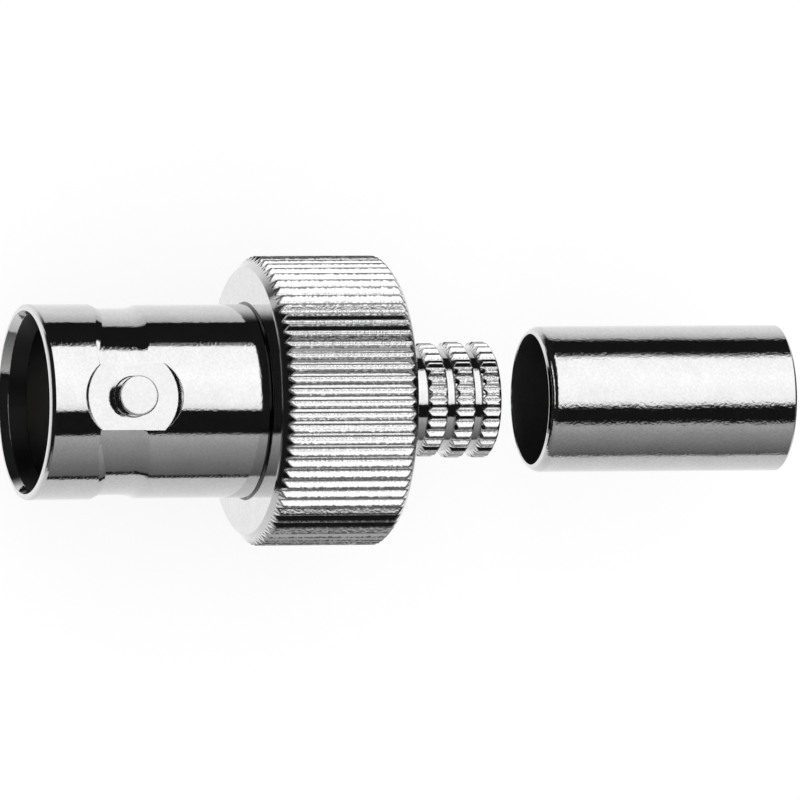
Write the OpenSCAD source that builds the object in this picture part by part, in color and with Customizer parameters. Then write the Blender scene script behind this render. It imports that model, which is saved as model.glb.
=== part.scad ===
// Coaxial bayonet cable jack for crimping, with its loose crimp ferrule.
// The axis lies along X. The mouth faces -X, its plane is at x = 0, and the bayonet lugs point up
// and down. Every x below is a distance behind the mouth.

/* [Barrel] */
// Outer diameter of the land at the mouth
land_d = 9.7; // [9.6:0.01:9.9]
// Outer diameter of the barrel behind the lugs
barrel_d = 9.6; // [9.4:0.01:9.7]
// Bore that takes the mating plug's fingers
bore_d = 8.1; // [8.0:0.01:8.3]
// Depth of that bore, down to the shoulder that the plug butts against
bore_depth = 8.4; // [8.0:0.05:9]
// Radius on the mouth's outer edge
mouth_round = 0.15; // [0.05:0.01:0.4]
// Width of the flat ring at the mouth
mouth_ring = 0.15; // [0.05:0.01:0.4]
// Depth of the wider zone just inside the mouth
relief_len = 0.45; // [0.1:0.05:1]
// How much that zone narrows from the mouth to its inner end, in radius
relief_taper = 0.1; // [0.02:0.01:0.2]
// Length of the cone that leads on from there to the bore
lead_in = 0.8; // [0.3:0.05:1.5]
// Radius in the corner between the barrel and the collar
root_fillet = 0.1; // [0.05:0.05:0.5]

/* [Bayonet lugs] */
// Lug diameter
lug_d = 2; // [1.91:0.01:2.06]
// Distance from the mouth to the lugs' own axis
lug_x = 4.32; // [4.2:0.01:5]
// Diameter across the tips of the two lugs
lug_span = 11; // [10.9:0.01:11.1]
// Chamfer round each lug's tip
lug_tip_chamfer = 0.03; // [0.02:0.01:0.3]
// Height and width of the small cone round each lug's foot
lug_foot = 0.04; // [0.02:0.01:0.3]
// Distance from the barrel's axis to the milled flat round each lug
flat_height = 4.5; // [4.3:0.01:4.6]
// Radius of the milled spot face, at the flat
spot_face_r = 2.31; // [1.9:0.01:2.6]
// Slope of the spot face's wall, from the cutter's axis
spot_face_slope = 32; // [5:1:45]

/* [Waist between the lugs] */
// Foremost start of the waist, beside the lugs
waist_x = 2.6; // [2:0.01:3]
// Start of the slope at its front end, at the two sides
waist_side_x = 3.19; // [2.8:0.01:3.6]
// Length of that slope at the sides
waist_ramp = 0.46; // [0.2:0.01:0.6]
// How far on its own side of the barrel's axis the slope has its centre
waist_ramp_offset = 0.58; // [0.3:0.01:0.8]
// Length of the straight floor at the sides, behind the slope
waist_floor = 1.15; // [0.6:0.05:1.5]
// Radius of the arc on which the floor runs out to the rear
waist_run_out_r = 2; // [1:0.1:12]
// Radius of the floor at the two sides, from the barrel's axis
waist_side_r = 4.63; // [4.5:0.01:4.75]
// How far past the barrel's axis each side's floor has its centre
waist_offset = 0.26; // [0.05:0.01:0.6]

/* [Collar] */
// Front face of the knurled collar
collar_x = 11.36; // [10.5:0.01:13]
// Length of the collar
collar_len = 6.99; // [6:0.01:9]
// Diameter over the knurl's crests
collar_d = 14.36; // [13.5:0.01:14.5]
// Chamfer on the collar's front edge, along and across
collar_front_chamfer = 0.55; // [0.3:0.01:0.8]
// Chamfer on its rear edge
collar_rear_chamfer = 0.42; // [0.3:0.01:0.6]
// Number of knurl teeth round the collar
collar_teeth = 73; // [50:1:90]
// Depth of the collar's knurl
collar_knurl = 0.29; // [0.1:0.01:0.4]
// How far the knurl is turned on from a groove at the very bottom, in degrees
collar_knurl_turn = 1; // [-2:0.1:2]

/* [Knurls] */
// Slope of the flanks of both knurls, from the groove's centre plane
knurl_flank = 45; // [35:1:55]

/* [Inside] */
// Bore in the shoulder, round the insulator's nose
throat_d = 4.85; // [4.8:0.05:5.2]
// Thickness of the shoulder
shoulder_wall = 1.2; // [0.8:0.1:2]
// Bore for the front insulator's body
seat_d = 6.4; // [5.8:0.1:6.8]
// Depth of the wide bore in the collar's rear
counterbore_depth = 5.35; // [4.8:0.05:6]
// Diameter of that bore
counterbore_d = 8.2; // [7.4:0.1:9]
// Play round each insulator
insulator_play = 0.03; // [0.01:0.01:0.06]

/* [Insulators] */
// Distance from the mouth to the front insulator's nose
nose_x = 3.4; // [3.4:0.1:4.5]
// Chamfer on the nose
nose_chamfer = 0.25; // [0.05:0.05:0.5]
// Thickness of the front insulator's flange
flange_t = 1; // [0.6:0.1:1.3]
// Thickness of the rear insulator
bush_t = 1.7; // [1.2:0.1:2]

/* [Contact] */
// Outer diameter of the socket contact
contact_d = 2.2; // [2.1:0.05:2.3]
// Bore of the socket
socket_d = 1.35; // [1.3:0.01:1.4]
// Depth of the socket
socket_depth = 5.2; // [4:0.1:6]
// Setback of the socket's tip inside the nose
tip_setback = 0.25; // [0.1:0.05:0.5]
// Width of the four slots between its fingers
slot_w = 0.18; // [0.1:0.01:0.24]
// Length of the slots
slot_len = 3.4; // [2:0.1:4.5]
// Diameter of the ring that holds the contact between the insulators
ring_d = 3.3; // [2.8:0.1:3.8]
// Thickness of that ring
ring_t = 1; // [0.5:0.1:1.4]
// Bore of the wire cup
cup_d = 1.1; // [0.9:0.05:1.4]
// Depth of the wire cup
cup_depth = 3.6; // [2:0.1:4]
// Distance from the rear insulator's back to the end of the contact
contact_tail = 1.6; // [0.5:0.1:2.4]

/* [Crimp stem] */
// Outer diameter of the stem's tube
stem_d = 5.08; // [4.7:0.01:5.2]
// Bore of the stem, for the cable's insulation
stem_bore = 4; // [3.6:0.1:4.2]
// Wider bore of its flange, round the end of the contact
stem_recess_d = 5.2; // [4.6:0.1:6]
// Depth of that wider bore
stem_recess = 2; // [1.7:0.1:2.4]
// Distance that the stem reaches out behind the collar
stem_reach = 5.51; // [5:0.01:9]
// Diameter over the crests of its first knurled band
first_band_d = 5.62; // [5.5:0.01:5.9]
// Diameter over the crests of the other bands
band_d = 5.74; // [5.5:0.01:5.9]
// Length of a band
band_len = 1.03; // [0.6:0.01:1.1]
// Distance from the collar to the first band
band_start = 1.75; // [0.8:0.01:2]
// Distance from one band to the next
band_pitch = 1.4; // [1.3:0.01:1.6]
// Number of bands
bands = 3; // [1:1:3]
// Number of knurl teeth round a band
band_teeth = 30; // [18:1:36]
// Depth of the bands' knurl
band_knurl = 0.2; // [0.05:0.01:0.22]
// Chamfer on a band's edges, along
band_chamfer = 0.16; // [0.05:0.01:0.25]
// How far the bands' knurl is turned on from a groove at the very bottom, in degrees
band_knurl_turn = 3; // [-6:0.5:6]

/* [Crimp ferrule] */
// Outer diameter of the ferrule
ferrule_d = 7.25; // [7.1:0.01:7.6]
// Wall of the ferrule
ferrule_wall = 0.36; // [0.32:0.01:0.5]
// Length of the ferrule
ferrule_len = 12.82; // [8:0.01:18]
// Gap between the stem's end and the ferrule, where it lies ready
ferrule_gap = 2.28; // [0.5:0.01:20]
// Length of the rounded edge at the ferrule's front end
ferrule_nose = 0.5; // [0.2:0.01:0.5]
// Radius of that rounded edge's arc, which is more than its length
ferrule_nose_r = 0.56; // [0.56:0.01:1]
// Chamfer on the edge at its rear end
ferrule_bevel = 0.12; // [0.05:0.01:0.3]

/* [Hidden] */
$fn = 96;

nickel = [0.78, 0.78, 0.77];
ptfe = [0.94, 0.94, 0.92];
gold = [0.85, 0.66, 0.3];

// How far a cutting solid runs past what it cuts
over = 1;

// Stations along the axis
seat_x = bore_depth + shoulder_wall;
collar_end = collar_x + collar_len;
counterbore_x = collar_end - counterbore_depth;
bush_x = counterbore_x + flange_t;
stem_x = bush_x + bush_t;
stem_end = collar_end + stem_reach;
ferrule_x = stem_end + ferrule_gap;
tip_x = nose_x + tip_setback;
ring_x = seat_x + ring_t;
contact_end = stem_x + contact_tail;

// Radii
land_r = land_d / 2;
barrel_r = barrel_d / 2;
bore_r = bore_d / 2;
collar_r = collar_d / 2;
lug_r = lug_d / 2;
counterbore_r = counterbore_d / 2;
contact_r = contact_d / 2;
contact_hole_r = contact_r + insulator_play;
ring_hole_r = ring_d / 2 + insulator_play;
mouth_inner_r = land_r - mouth_round - mouth_ring;

// Least share of a tooth's pitch that its flat crest takes
least_crest = 0.06;
// Outer radius of the waist's cutters
waist_cutter_r = land_r + over;

// Turns a solid made along Z so that it lies along X, with its x side down
module lie_along_x() {
    rotate([0, 90, 0])
        children();
}

// Share of a tooth's pitch that its flat crest takes
function crest_share(r, depth, teeth) =
    max(least_crest, 1 - depth * tan(knurl_flank) * teeth / (PI * r));

// Corners of a straight knurl's cross-section: a groove's bottom and both edges of each crest
function knurl_outline(r, depth, teeth, turn) = [
    let (share = crest_share(r, depth, teeth))
        for (i = [0 : teeth - 1])
            for (corner = [[0, depth], [0.5 - share / 2, 0], [0.5 + share / 2, 0]])
                let (angle = turn + (i + corner[0]) * 360 / teeth)
                    (r - corner[1]) * [cos(angle), sin(angle)]
];

// A straight-knurled ring along Z. Its front and rear chamfers are given as [along, across].
module knurled_ring(r, len, depth, teeth, turn, front, rear) {
    intersection() {
        linear_extrude(height = len)
            polygon(knurl_outline(r, depth, teeth, turn));
        rotate_extrude()
            polygon([
                [0, 0], [r - front[1], 0], [r, front[0]],
                [r, len - rear[0]], [r - rear[1], len], [0, len]
            ]);
    }
}

// The barrel's outside: the land with its rounded edge, the plain barrel and the root fillet
module barrel_blank() {
    rotate_extrude() {
        square([land_r - mouth_round, lug_x]);
        translate([0, mouth_round])
            square([land_r, lug_x - mouth_round]);
        translate([land_r - mouth_round, mouth_round])
            circle(r = mouth_round);
        translate([0, lug_x - over])
            square([barrel_r, collar_x + 2 * over - lug_x]);
        difference() {
            translate([0, collar_x - root_fillet])
                square([barrel_r + root_fillet, root_fillet + over]);
            translate([barrel_r + root_fillet, collar_x - root_fillet])
                circle(r = root_fillet);
        }
    }
}

// Half-section of the waist's floor cutter, from the centre of its floor outwards
module waist_floor_section() {
    floor_r = waist_side_r + waist_offset;
    run_out_x = waist_side_x + waist_ramp + waist_floor;
    translate([floor_r, waist_x])
        square([waist_cutter_r - floor_r, run_out_x - waist_x]);
    intersection() {
        translate([floor_r + waist_run_out_r, run_out_x])
            circle(r = waist_run_out_r);
        translate([floor_r, run_out_x])
            square([waist_cutter_r - floor_r, waist_run_out_r]);
    }
}

// Half-section of what lies outside the slope at the waist's front end
module waist_ramp_section() {
    ramp_r = land_r - waist_ramp_offset;
    run = waist_ramp / (land_r - waist_side_r);
    polygon([
        [waist_cutter_r, waist_side_x - (waist_cutter_r - ramp_r) * run],
        [waist_cutter_r, collar_x],
        [ramp_r - (collar_x - waist_side_x) / run, collar_x]
    ]);
}

// The two sides of the barrel between the lugs are turned down about centres past the axis, behind
// a slope that starts further forward towards the lugs
module waist_cutters() {
    for (side = [-1, 1])
        intersection() {
            translate([0, -side * waist_offset, 0])
                rotate_extrude()
                    waist_floor_section();
            translate([0, side * waist_ramp_offset, 0])
                rotate_extrude()
                    waist_ramp_section();
            translate([-2 * land_r, side > 0 ? 0 : -2 * land_r, 0])
                cube([4 * land_r, 2 * land_r, collar_x]);
        }
}

// A milled pocket with a flat floor and a sloped round wall, on the side of a lug
module spot_face() {
    depth = lug_span / 2 - flat_height + over;
    translate([0, 0, flat_height])
        cylinder(h = depth, r1 = spot_face_r, r2 = spot_face_r + depth * tan(spot_face_slope));
}

// One bayonet lug along Z, from inside the barrel's wall to its tip
module lug() {
    tip = lug_span / 2;
    base = bore_r - over / 2;
    rotate_extrude()
        polygon([
            [0, base], [lug_r + lug_foot, base], [lug_r + lug_foot, flat_height],
            [lug_r, flat_height + lug_foot], [lug_r, tip - lug_tip_chamfer],
            [lug_r - lug_tip_chamfer, tip], [0, tip]
        ]);
}

// What is bored out of the shell: mouth, plug bore, throat, seat and rear counterbore
module shell_bores() {
    rotate_extrude()
        polygon([
            [0, -over], [mouth_inner_r + over * relief_taper / relief_len, -over],
            [mouth_inner_r - relief_taper, relief_len], [bore_r, relief_len + lead_in],
            [bore_r, bore_depth], [throat_d / 2, bore_depth],
            [throat_d / 2, seat_x], [seat_d / 2, seat_x], [seat_d / 2, counterbore_x],
            [counterbore_r, counterbore_x], [counterbore_r, collar_end + over],
            [0, collar_end + over]
        ]);
}

module shell() {
    color(nickel)
        difference() {
            union() {
                difference() {
                    lie_along_x()
                        difference() {
                            barrel_blank();
                            waist_cutters();
                        }
                    for (up = [0, 1])
                        mirror([0, 0, up])
                            translate([lug_x, 0, 0])
                                spot_face();
                }
                for (up = [0, 1])
                    mirror([0, 0, up])
                        translate([lug_x, 0, 0])
                            lug();
                translate([collar_x, 0, 0])
                    lie_along_x()
                        knurled_ring(collar_r, collar_len, collar_knurl, collar_teeth,
                            collar_knurl_turn, [collar_front_chamfer, collar_front_chamfer],
                            [collar_rear_chamfer, collar_rear_chamfer]);
            }
            lie_along_x()
                shell_bores();
        }
}

module front_dielectric() {
    nose_r = throat_d / 2 - insulator_play;
    body_r = seat_d / 2 - insulator_play;
    flange_r = counterbore_r - insulator_play;
    color(ptfe)
        lie_along_x()
            rotate_extrude()
                polygon([
                    [contact_hole_r, nose_x], [nose_r - nose_chamfer, nose_x],
                    [nose_r, nose_x + nose_chamfer], [nose_r, seat_x], [body_r, seat_x],
                    [body_r, counterbore_x], [flange_r, counterbore_x], [flange_r, bush_x],
                    [ring_hole_r, bush_x], [ring_hole_r, ring_x], [contact_hole_r, ring_x]
                ]);
}

module socket_contact() {
    tip_chamfer = (contact_r - socket_d / 2) / 3;
    color(gold)
        difference() {
            lie_along_x()
                rotate_extrude()
                    polygon([
                        [socket_d / 2 + tip_chamfer, tip_x], [contact_r - tip_chamfer, tip_x],
                        [contact_r, tip_x + tip_chamfer], [contact_r, ring_x],
                        [ring_d / 2, ring_x], [ring_d / 2, ring_x + ring_t],
                        [contact_r, ring_x + ring_t], [contact_r, contact_end],
                        [cup_d / 2, contact_end], [cup_d / 2, contact_end - cup_depth],
                        [0, contact_end - cup_depth], [0, tip_x + socket_depth],
                        [socket_d / 2, tip_x + socket_depth], [socket_d / 2, tip_x + tip_chamfer]
                    ]);
            for (turn = [0, 90])
                rotate([turn, 0, 0])
                    translate([tip_x - over, -slot_w / 2, -contact_d])
                        cube([slot_len + over, slot_w, 2 * contact_d]);
        }
}

module rear_dielectric() {
    spigot_x = ring_x + ring_t;
    color(ptfe)
        lie_along_x()
            rotate_extrude()
                polygon([
                    [contact_hole_r, spigot_x], [ring_d / 2, spigot_x], [ring_d / 2, bush_x],
                    [counterbore_r - insulator_play, bush_x],
                    [counterbore_r - insulator_play, stem_x], [contact_hole_r, stem_x]
                ]);
}

// The flange fills the counterbore behind the insulators, and the tube reaches out of the collar
module crimp_stem() {
    band_edge = [band_chamfer, band_knurl];
    color(nickel)
        lie_along_x()
            difference() {
                union() {
                    translate([0, 0, stem_x])
                        cylinder(h = collar_end - stem_x, r = counterbore_r);
                    translate([0, 0, stem_x])
                        cylinder(h = stem_end - stem_x, r = stem_d / 2);
                    for (i = [0 : bands - 1])
                        translate([0, 0, collar_end + band_start + i * band_pitch])
                            knurled_ring((i == 0 ? first_band_d : band_d) / 2,
                                min(band_len, stem_reach - band_start - i * band_pitch),
                                band_knurl, band_teeth, band_knurl_turn, band_edge, band_edge);
                }
                translate([0, 0, stem_x - over])
                    cylinder(h = stem_end - stem_x + 2 * over, r = stem_bore / 2);
                translate([0, 0, stem_x - over])
                    cylinder(h = stem_recess + over, r = stem_recess_d / 2);
            }
}

module crimp_ferrule() {
    outer_r = ferrule_d / 2;
    inner_r = outer_r - ferrule_wall;
    color(nickel)
        translate([ferrule_x, 0, 0])
            lie_along_x()
                rotate_extrude()
                    difference() {
                        polygon([
                            [inner_r, 0], [outer_r, 0], [outer_r, ferrule_len - ferrule_bevel],
                            [outer_r - ferrule_bevel, ferrule_len], [inner_r, ferrule_len]
                        ]);
                        difference() {
                            translate([inner_r, -over])
                                square([ferrule_wall + over, over + ferrule_nose]);
                            translate([outer_r - ferrule_nose_r, ferrule_nose])
                                circle(r = ferrule_nose_r);
                        }
                    }
}

shell();
front_dielectric();
socket_contact();
rear_dielectric();
crimp_stem();
crimp_ferrule();
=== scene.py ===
import math
import bpy
import bmesh
from mathutils import Matrix, Vector


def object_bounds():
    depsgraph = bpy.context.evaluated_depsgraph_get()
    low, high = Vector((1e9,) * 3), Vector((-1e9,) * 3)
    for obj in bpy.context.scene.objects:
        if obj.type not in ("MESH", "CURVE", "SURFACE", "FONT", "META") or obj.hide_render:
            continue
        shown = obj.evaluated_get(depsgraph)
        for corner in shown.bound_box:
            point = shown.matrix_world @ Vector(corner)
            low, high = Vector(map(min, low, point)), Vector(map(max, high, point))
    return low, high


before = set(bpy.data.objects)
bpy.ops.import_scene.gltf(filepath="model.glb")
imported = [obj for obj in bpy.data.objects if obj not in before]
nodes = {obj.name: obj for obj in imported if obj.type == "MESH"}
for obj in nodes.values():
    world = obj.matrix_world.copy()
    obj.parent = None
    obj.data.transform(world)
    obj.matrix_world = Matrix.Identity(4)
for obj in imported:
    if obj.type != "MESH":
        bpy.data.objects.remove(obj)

MM = 0.001
cad_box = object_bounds()
scene = bpy.context.scene

# Camera: seen from the side of the mouth, with the axis rising a little to the right
TILT = math.radians(16.75)     # the view leans this far towards the mouth
LEAN = math.radians(3.1)       # and this far towards -Y
ROLL = math.radians(-0.35)     # turn of the camera about its own line of sight
DISTANCE = 1.5
FIELD = 0.0397                 # width of the view where the object lies
SENSOR = 36.0
AIM = Vector((0.0194, 0.0, 0.0))

back = Vector((-math.sin(TILT), -math.sin(LEAN) * math.cos(TILT), math.cos(LEAN) * math.cos(TILT)))
up = Vector((0.0, math.cos(LEAN), math.sin(LEAN)))
right = up.cross(back)
rolled_right = right * math.cos(ROLL) + up * math.sin(ROLL)
rolled_up = up * math.cos(ROLL) - right * math.sin(ROLL)
lens = bpy.data.cameras.new("camera")
lens.sensor_width = SENSOR
lens.lens = DISTANCE * SENSOR / FIELD
lens.clip_start = 0.1
lens.clip_end = 20.0
camera = bpy.data.objects.new("camera", lens)
scene.collection.objects.link(camera)
turn = Matrix((rolled_right, rolled_up, back)).transposed().to_4x4()
camera.matrix_world = Matrix.Translation(AIM + back * DISTANCE) @ turn
scene.camera = camera
scene.view_settings.view_transform = "Standard"


class Graph:
    """The shader nodes of a world or material. A value is a socket, or a plain number or colour."""

    def __init__(self, owner):
        owner.use_nodes = True
        self.tree = owner.node_tree
        self.tree.nodes.clear()

    def add(self, kind, **settings):
        node = self.tree.nodes.new(kind)
        for key, value in settings.items():
            setattr(node, key, value)
        return node

    def put(self, socket, value):
        if isinstance(value, bpy.types.NodeSocket):
            self.tree.links.new(value, socket)
        else:
            socket.default_value = value

    def math(self, operation, *values, clamp=False):
        node = self.add("ShaderNodeMath", operation=operation, use_clamp=clamp)
        for socket, value in zip(node.inputs, values):
            self.put(socket, value)
        return node.outputs[0]

    def times(self, first, *others):
        for other in others:
            first = self.math("MULTIPLY", first, other)
        return first

    def less(self, value):
        """1 minus the value."""
        return self.math("SUBTRACT", 1.0, value)

    def mix(self, factor, low, high):
        node = self.add("ShaderNodeMix", data_type="FLOAT")
        for place, value in ((0, factor), (2, low), (3, high)):
            self.put(node.inputs[place], value)
        return node.outputs[0]

    def mix_colours(self, factor, low, high):
        node = self.add("ShaderNodeMix", data_type="RGBA")
        for place, value in ((0, factor), (6, (*low, 1)), (7, (*high, 1))):
            self.put(node.inputs[place], value)
        return node.outputs[2]

    def split(self, vector):
        node = self.add("ShaderNodeSeparateXYZ")
        self.put(node.inputs[0], vector)
        return node.outputs

    def step(self, value, start, end):
        """Smooth step from 0 at start to 1 at end."""
        node = self.add("ShaderNodeMapRange", interpolation_type="SMOOTHSTEP")
        self.put(node.inputs["Value"], value)
        node.inputs["From Min"].default_value = start
        node.inputs["From Max"].default_value = end
        return node.outputs[0]

    def spread(self, value, low, high, start=0.3, end=0.7):
        """Straight from low, where the value is start, to high, where it is end."""
        node = self.add("ShaderNodeMapRange")
        self.put(node.inputs["Value"], value)
        for name, number in (("From Min", start), ("From Max", end), ("To Min", low), ("To Max", high)):
            node.inputs[name].default_value = number
        return node.outputs[0]

    def noise(self, vector, scale, detail=2.0, stretch=None):
        """Noise of about 1 / scale metres, drawn out where stretch is below 1."""
        node = self.add("ShaderNodeTexNoise")
        node.inputs["Scale"].default_value = scale
        node.inputs["Detail"].default_value = detail
        if stretch:
            mapping = self.add("ShaderNodeMapping")
            self.put(mapping.inputs["Vector"], vector)
            mapping.inputs["Scale"].default_value = stretch
            vector = mapping.outputs[0]
        self.put(node.inputs["Vector"], vector)
        return node.outputs[0]

    def bump(self, height, depth, under=None, strength=1.0):
        """Relief of the given depth in metres, over the normals that it gets."""
        node = self.add("ShaderNodeBump")
        node.inputs["Strength"].default_value = strength
        node.inputs["Distance"].default_value = depth
        self.put(node.inputs["Height"], height)
        if under:
            self.put(node.inputs["Normal"], under)
        return node.outputs[0]

    def inside(self, first, second, first_range, second_range):
        """1 where both values lie in their ranges, which are in millimetres."""
        tests = []
        for value, (low, high) in ((first, first_range), (second, second_range)):
            tests.append(self.math("GREATER_THAN", value, low * MM))
            tests.append(self.math("LESS_THAN", value, high * MM))
        return self.times(*tests)


def lin(grey):
    """Linear value of an 8-bit grey."""
    c = grey / 255
    return c / 12.92 if c <= 0.04045 else ((c + 0.055) / 1.055) ** 2.4


PLATE = 0.755                  # reflectance of the plating


def shown(grey):
    """Strength of a card that the plating mirrors as this grey."""
    return lin(grey) / PLATE


# World: what the plating mirrors is a round of long cards, the rest is plain white.
# A card's place is its turn about the X axis, in degrees from the camera's side towards +Y.
# Each card: from, to, grey at both, as the plating shows them
CARDS = [
    (-180, -150, 224, 205),
    (-150, -101.5, 205, 176),
    (-101.5, -82, 82, 104),
    (-82, -58, 104, 132),
    (-58, -40.5, 132, 156),
    (-40.5, -10.3, 18, 18),
    (-10.3, -3, 215, 238),
    (-3, 30, 240, 250),
    (30, 109, 250, 234),
    (109, 130, 165, 202),
    (130, 180, 202, 224),
]
SOFT = 0.5                     # half-width of the step between two cards, in degrees
BLACK = 20                     # grey of the black cards across the light ones
BROAD = (68.9, 109.0)          # the broad black card, from and to
FERRULE_BROAD = 5.0            # how much further on it starts behind the ferrule
NARROW = (-104.5, -98.5)       # the narrow one
ROOM = 24                      # grey of the dark room beyond the cards' ends

world = bpy.data.worlds.new("studio")
scene.world = world
g = Graph(world)
along, across, height = g.split(g.add("ShaderNodeTexCoord").outputs["Generated"])
turn_from_z = g.math("ARCTAN2", across, height)
share = g.math("MULTIPLY_ADD", g.math("ADD", turn_from_z, LEAN), 1 / (2 * math.pi), 0.5)
degrees = g.times(g.math("SUBTRACT", share, 0.5), 360.0)

stops = []
for start, end, first, last in CARDS:
    stops.append(((start + SOFT + 180) / 360, shown(first)))
    stops.append(((end - SOFT + 180) / 360, shown(last)))
ramp = g.add("ShaderNodeValToRGB")
elements = ramp.color_ramp.elements
while len(elements) > 1:
    elements.remove(elements[-1])
elements[0].position = stops[0][0]
for place, _ in stops[1:]:
    elements.new(place)
for element, (_, value) in zip(elements, stops):
    element.color = (value, value, value, 1)
g.put(ramp.inputs[0], share)


def past(edge):
    """1 beyond an edge between two cards, in degrees."""
    return g.math("MULTIPLY_ADD", g.math("SUBTRACT", degrees, edge), 0.5 / SOFT, 0.5, clamp=True)


# Behind the ferrule the broad black card starts further on, and the narrow one has ended. The
# narrow one starts behind the mouth.
by_ferrule = g.times(g.step(along, 0.2905, 0.2935), g.step(along, 0.34, 0.31))
broad_start = g.math("MULTIPLY_ADD", by_ferrule, FERRULE_BROAD, BROAD[0])
broad = g.times(past(broad_start), g.less(past(BROAD[1])))
narrow = g.times(past(NARROW[0]), g.less(past(NARROW[1])),
                 g.math("SUBTRACT", g.step(along, 0.10, 0.20), by_ferrule))
cards = g.mix(g.math("MAXIMUM", broad, narrow), ramp.outputs[0], shown(BLACK))

# The upper cards have a dark gap in front of the mouth and end a little further on, and also behind
# the cable end. The room there is dark above the table, which reaches further in front of the mouth.
mouth_gap = g.times(g.step(along, -0.02, -0.12), g.step(degrees, -34.0, -28.0), g.step(along, -0.65, -0.61))
mouth_end = g.math("MAXIMUM", mouth_gap, g.step(along, -0.69, -0.74))
cable_end = g.step(along, 0.685, 0.725)
above_table = g.mix(g.step(along, -0.80, -0.90), g.step(height, -0.75, -0.26), g.step(height, -0.42, -0.15))
ends = g.times(g.math("MAXIMUM", mouth_end, cable_end), above_table)
glossy_sky = g.mix(ends, cards, shown(ROOM))
# Little diffuse light comes from straight in front of the mouth
diffuse_sky = g.mix(g.step(along, -0.45, -0.75), 1.0, 0.3)
path = g.add("ShaderNodeLightPath").outputs
sky = g.mix(path["Is Glossy Ray"], diffuse_sky, glossy_sky)
sky = g.mix(g.math("MAXIMUM", path["Is Camera Ray"], path["Is Transmission Ray"]), sky, 1.0)
background = g.add("ShaderNodeBackground")
g.put(background.inputs["Color"], sky)
g.put(g.add("ShaderNodeOutputWorld").inputs[0], background.outputs[0])

# Floor: pale paper, shown lighter than it lights the object
PAPER = 0.97
GLOW = 1.08                    # what the camera sees of the paper is mixed with this
GLOW_SHARE = 0.75
grid = bmesh.new()
bmesh.ops.create_grid(grid, x_segments=1, y_segments=1, size=1.5)
sheet = bpy.data.meshes.new("floor")
grid.to_mesh(sheet)
grid.free()
floor = bpy.data.objects.new("floor", sheet)
floor.location = (0.02, 0.0, cad_box[0][2])
scene.collection.objects.link(floor)
floor.visible_glossy = False
paper = bpy.data.materials.new("floor_paper")
g = Graph(paper)
diffuse = g.add("ShaderNodeBsdfDiffuse")
g.put(diffuse.inputs["Color"], (PAPER, PAPER, PAPER, 1))
glow = g.add("ShaderNodeEmission")
g.put(glow.inputs["Color"], (1, 1, 1, 1))
g.put(glow.inputs["Strength"], GLOW)
blend = g.add("ShaderNodeMixShader")
seen = g.add("ShaderNodeLightPath").outputs["Is Camera Ray"]
for socket, value in zip(blend.inputs, (g.times(seen, GLOW_SHARE), diffuse.outputs[0], glow.outputs[0])):
    g.put(socket, value)
g.put(g.add("ShaderNodeOutputMaterial").inputs[0], blend.outputs[0])
sheet.materials.append(paper)

# Zones of the pieces: a range along the axis and a range of radius, both in millimetres
BARREL_ROOT_SHADE = ((11.24, 11.40), (4.79, 4.92))   # where the barrel meets the collar, painted dark as the shade in the joint
MOUTH_CONE_SHADE = ((0.4, 1.27), (0.0, 4.44))        # between the lead-in and the plug bore, painted dark as the shade inside the mouth
LEAD_IN = ((0.02, 0.45), (4.44, 4.60))
MOUTH_EDGE = ((0.01, 0.26), (4.70, 4.86))
WAIST = ((2.5, 6.0), (4.5, 4.9))
WAIST_SIDE = 1.95                              # the waist's ends lie further across than this
PLUG_BORE = ((0.4, 8.6), (0.0, 4.44))
COLLAR_KNURL = ((11.6, 18.2), (6.3, 7.2))
STEM_KNURL = ((19.9, 24.0), (2.6, 3.0))
FERRULE_BORE = ((26.2, 38.9), (0.0, 3.3))
FERRULE_RIM = ((26.1, 26.215), (3.26, 3.44))
# Zones of the lugs: a range of height and a range along the axis
LUG_FOOT = ((4.4, 5.1), (2.9, 5.8))
LUG_HALF = 1.4                                 # and no further across than this
LUG_TIP = (5.1 * MM, 5.2 * MM)                 # from here up it is the tip


# Materials
def new_material(name):
    material = bpy.data.materials.new(name)
    g = Graph(material)
    shader = g.add("ShaderNodeBsdfPrincipled")
    g.put(g.add("ShaderNodeOutputMaterial").inputs[0], shader.outputs[0])
    return material, g, shader, g.add("ShaderNodeTexCoord").outputs["Object"]


def lean_normals(g, normal, change):
    """The normals with their X component changed by the given function."""
    parts = g.split(normal)
    bent = g.add("ShaderNodeCombineXYZ")
    for socket, value in zip(bent.inputs, (change(parts[0]), parts[1], parts[2])):
        g.put(socket, value)
    unit = g.add("ShaderNodeVectorMath", operation="NORMALIZE")
    g.put(unit.inputs[0], bent.outputs[0])
    return unit.outputs[0]


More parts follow.
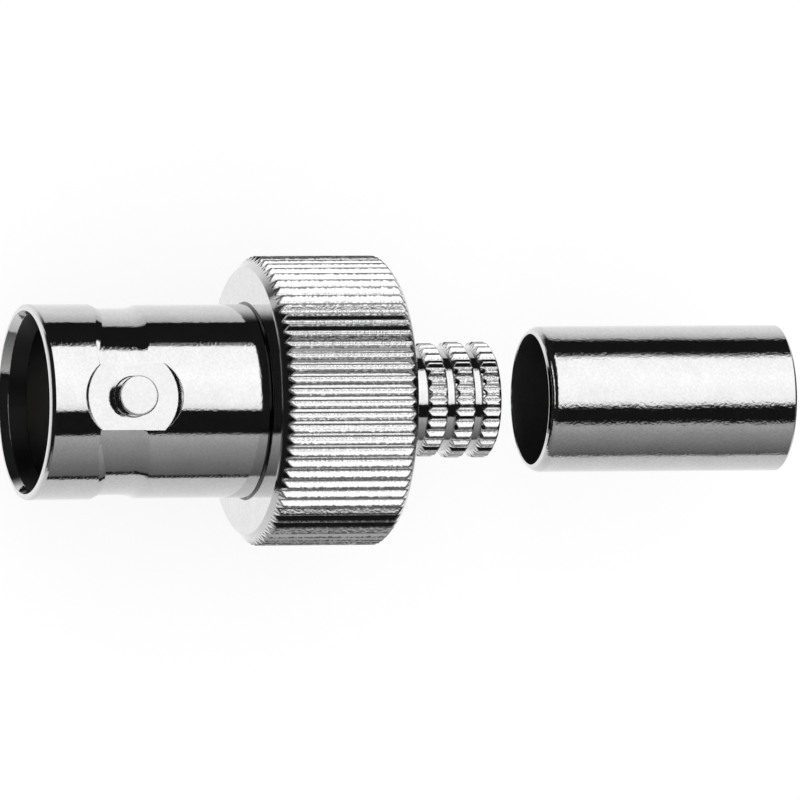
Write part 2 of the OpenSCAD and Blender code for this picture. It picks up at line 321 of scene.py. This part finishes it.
def nickel(name, rough, marks, grain, edge, bore=None, knurl=None, dents=0.0, rim=None, barrel=False):
    """Bright nickel plate: turning marks round the axis, grain, and edges rounded by the plating.

    marks, grain and dents are depths, and edge is the rounding, in metres. A bore is (zone,
    reflectance) and is rougher; its low reflectance is painted shade that darkens the hollow. A knurl
    is (zone, teeth, turn in degrees, rounding): its plating is lighter, with painted shade in dark
    lines along its crests and in spots in its grooves. A rim is a zone that faces the mouth.
    """
    material, g, shader, place = new_material(name)
    along, across, height = g.split(place)
    radius = g.math("SQRT", g.math("MULTIPLY_ADD", across, across, g.times(height, height)))
    blotch = g.noise(place, 900.0, 3.0)
    fine = g.noise(place, 7000.0)
    roughness = g.spread(blotch, rough * 0.8, rough * 1.3)
    plate = g.times(g.spread(blotch, PLATE * 0.97, PLATE * 1.03), g.spread(fine, 0.95, 1.05))
    rounding = edge
    if knurl:
        area, teeth, turn, tooth_rounding = knurl
        on_knurl = g.inside(along, radius, *area)
        angle = g.math("ARCTAN2", across, g.times(height, -1.0))
        wave = g.math("COSINE", g.math("MULTIPLY_ADD", angle, teeth, -math.radians(turn * teeth)))
        ragged = g.math("MULTIPLY_ADD", g.math("SUBTRACT", fine, 0.5), 1.2, wave)
        # Painted shade: dark lines along the crests and dark spots in the grooves; elsewhere on the knurl the
        # plating is lighter
        crests = g.step(ragged, -0.65, -1.0)
        spots = g.times(g.step(wave, 0.2, 0.9), g.step(g.noise(place, 16000.0), 0.42, 0.60))
        shade = g.math("MAXIMUM", g.times(crests, 0.7), g.times(spots, 0.5))
        plate = g.mix(on_knurl, plate, g.mix(shade, 0.93, 0.0))
        rounding = g.mix(on_knurl, edge, tooth_rounding)
    if barrel:
        # Painted shade: the plating turns nearly black in a thin ring where the barrel meets the collar
        plate = g.mix(g.inside(along, radius, *BARREL_ROOT_SHADE), plate, 0.08)
    if bore:
        # Painted shade: a bore is rougher, and its plating's reflectance is lowered to darken the deep hollow
        area, reflectance = bore
        dull_and_shaded = g.inside(along, radius, *area)
        roughness = g.mix(dull_and_shaded, roughness, 0.4)
        plate = g.mix(dull_and_shaded, plate, reflectance)
    if barrel:
        # Painted shade: the cone inside the mouth has its plating darkened nearly to black
        plate = g.mix(g.inside(along, radius, *MOUTH_CONE_SHADE), plate, 0.05)
        level = g.math("ABSOLUTE", height)
        sideways = g.math("ABSOLUTE", across)
        rounding = g.mix(g.step(level, *LUG_TIP), rounding, 1.8e-4)
        foot = g.times(g.inside(level, along, *LUG_FOOT), g.math("LESS_THAN", sideways, LUG_HALF * MM))
        rounding = g.mix(foot, rounding, 5e-6)

    soft = g.add("ShaderNodeBevel", samples=8)
    g.put(soft.inputs["Radius"], rounding)
    normal = soft.outputs[0]
    if rim:
        on_rim = g.inside(along, radius, *rim)
        normal = lean_normals(g, normal, lambda x: g.math("MULTIPLY_ADD", on_rim, -2.0, x))
    if barrel:
        # The lead-in and the mouth's outer edge lean towards the mouth, and the waist's two ends
        # blend into the barrel
        lead_in = g.inside(along, radius, *LEAD_IN)
        mouth_edge = g.inside(along, radius, *MOUTH_EDGE)
        waist_end = g.times(g.inside(along, radius, *WAIST), g.math("GREATER_THAN", sideways, WAIST_SIDE * MM))

        def lean(x):
            x = g.times(x, g.mix(waist_end, 1.0, 0.25))
            x = g.math("MULTIPLY_ADD", lead_in, -0.22, x)
            return g.math("MULTIPLY_ADD", mouth_edge, -0.75, x)

        normal = lean_normals(g, normal, lean)
    if dents:
        normal = g.bump(g.noise(place, 250.0), dents, normal)
    normal = g.bump(g.noise(place, 14000.0, 3.0, (1.0, 0.04, 0.04)), marks, normal)
    normal = g.bump(g.noise(place, 8000.0, 3.0), grain, normal)

    g.put(shader.inputs["Normal"], normal)
    g.put(shader.inputs["Roughness"], roughness)
    shader.inputs["Metallic"].default_value = 1.0
    tone = g.add("ShaderNodeCombineColor")
    for socket in tone.inputs[:3]:
        g.put(socket, plate)
    g.put(shader.inputs["Base Color"], tone.outputs[0])
    return material


def ptfe(name):
    """Machined white fluoropolymer."""
    material, g, shader, place = new_material(name)
    cloud = g.noise(place, 900.0, 4.0)
    g.put(shader.inputs["Base Color"], g.mix_colours(cloud, (0.84, 0.84, 0.82), (0.90, 0.90, 0.88)))
    shader.inputs["Roughness"].default_value = 0.48
    shader.inputs["Subsurface Weight"].default_value = 0.15
    shader.inputs["Subsurface Radius"].default_value = (0.6 * MM, 0.6 * MM, 0.6 * MM)
    rings = g.noise(place, 9000.0, 2.0, (1.0, 0.03, 0.03))
    g.put(shader.inputs["Normal"], g.bump(rings, 0.01 * MM, strength=0.2))
    return material


def gold(name):
    """Gold flash on turned brass."""
    material, g, shader, place = new_material(name)
    cloud = g.noise(place, 1500.0)
    g.put(shader.inputs["Roughness"], g.spread(cloud, 0.14, 0.26, 0.0, 1.0))
    g.put(shader.inputs["Base Color"], g.mix_colours(cloud, (0.83, 0.58, 0.22), (0.90, 0.67, 0.30)))
    shader.inputs["Metallic"].default_value = 1.0
    return material


white = ptfe("ptfe")
finish = {
    "shell": nickel("nickel_plate", 0.04, 4e-8, 2.6e-6, 4e-5, barrel=True,
                    bore=(PLUG_BORE, 0.1), knurl=(COLLAR_KNURL, 73, 1.0, 1.4e-4)),
    "crimp_stem": nickel("nickel_stem", 0.04, 4e-8, 2.4e-6, 4e-5,
                         knurl=(STEM_KNURL, 30, 3.0, 8e-5)),
    "crimp_ferrule": nickel("nickel_tube", 0.045, 3e-8, 8e-6, 2e-5, dents=4.5e-5,
                            bore=(FERRULE_BORE, 0.25), rim=FERRULE_RIM),
    "front_dielectric": white,
    "rear_dielectric": white,
    "socket_contact": gold("gold_flash"),
}
for name, material in finish.items():
    slots = nodes[name].data.materials
    slots.clear()
    slots.append(material)
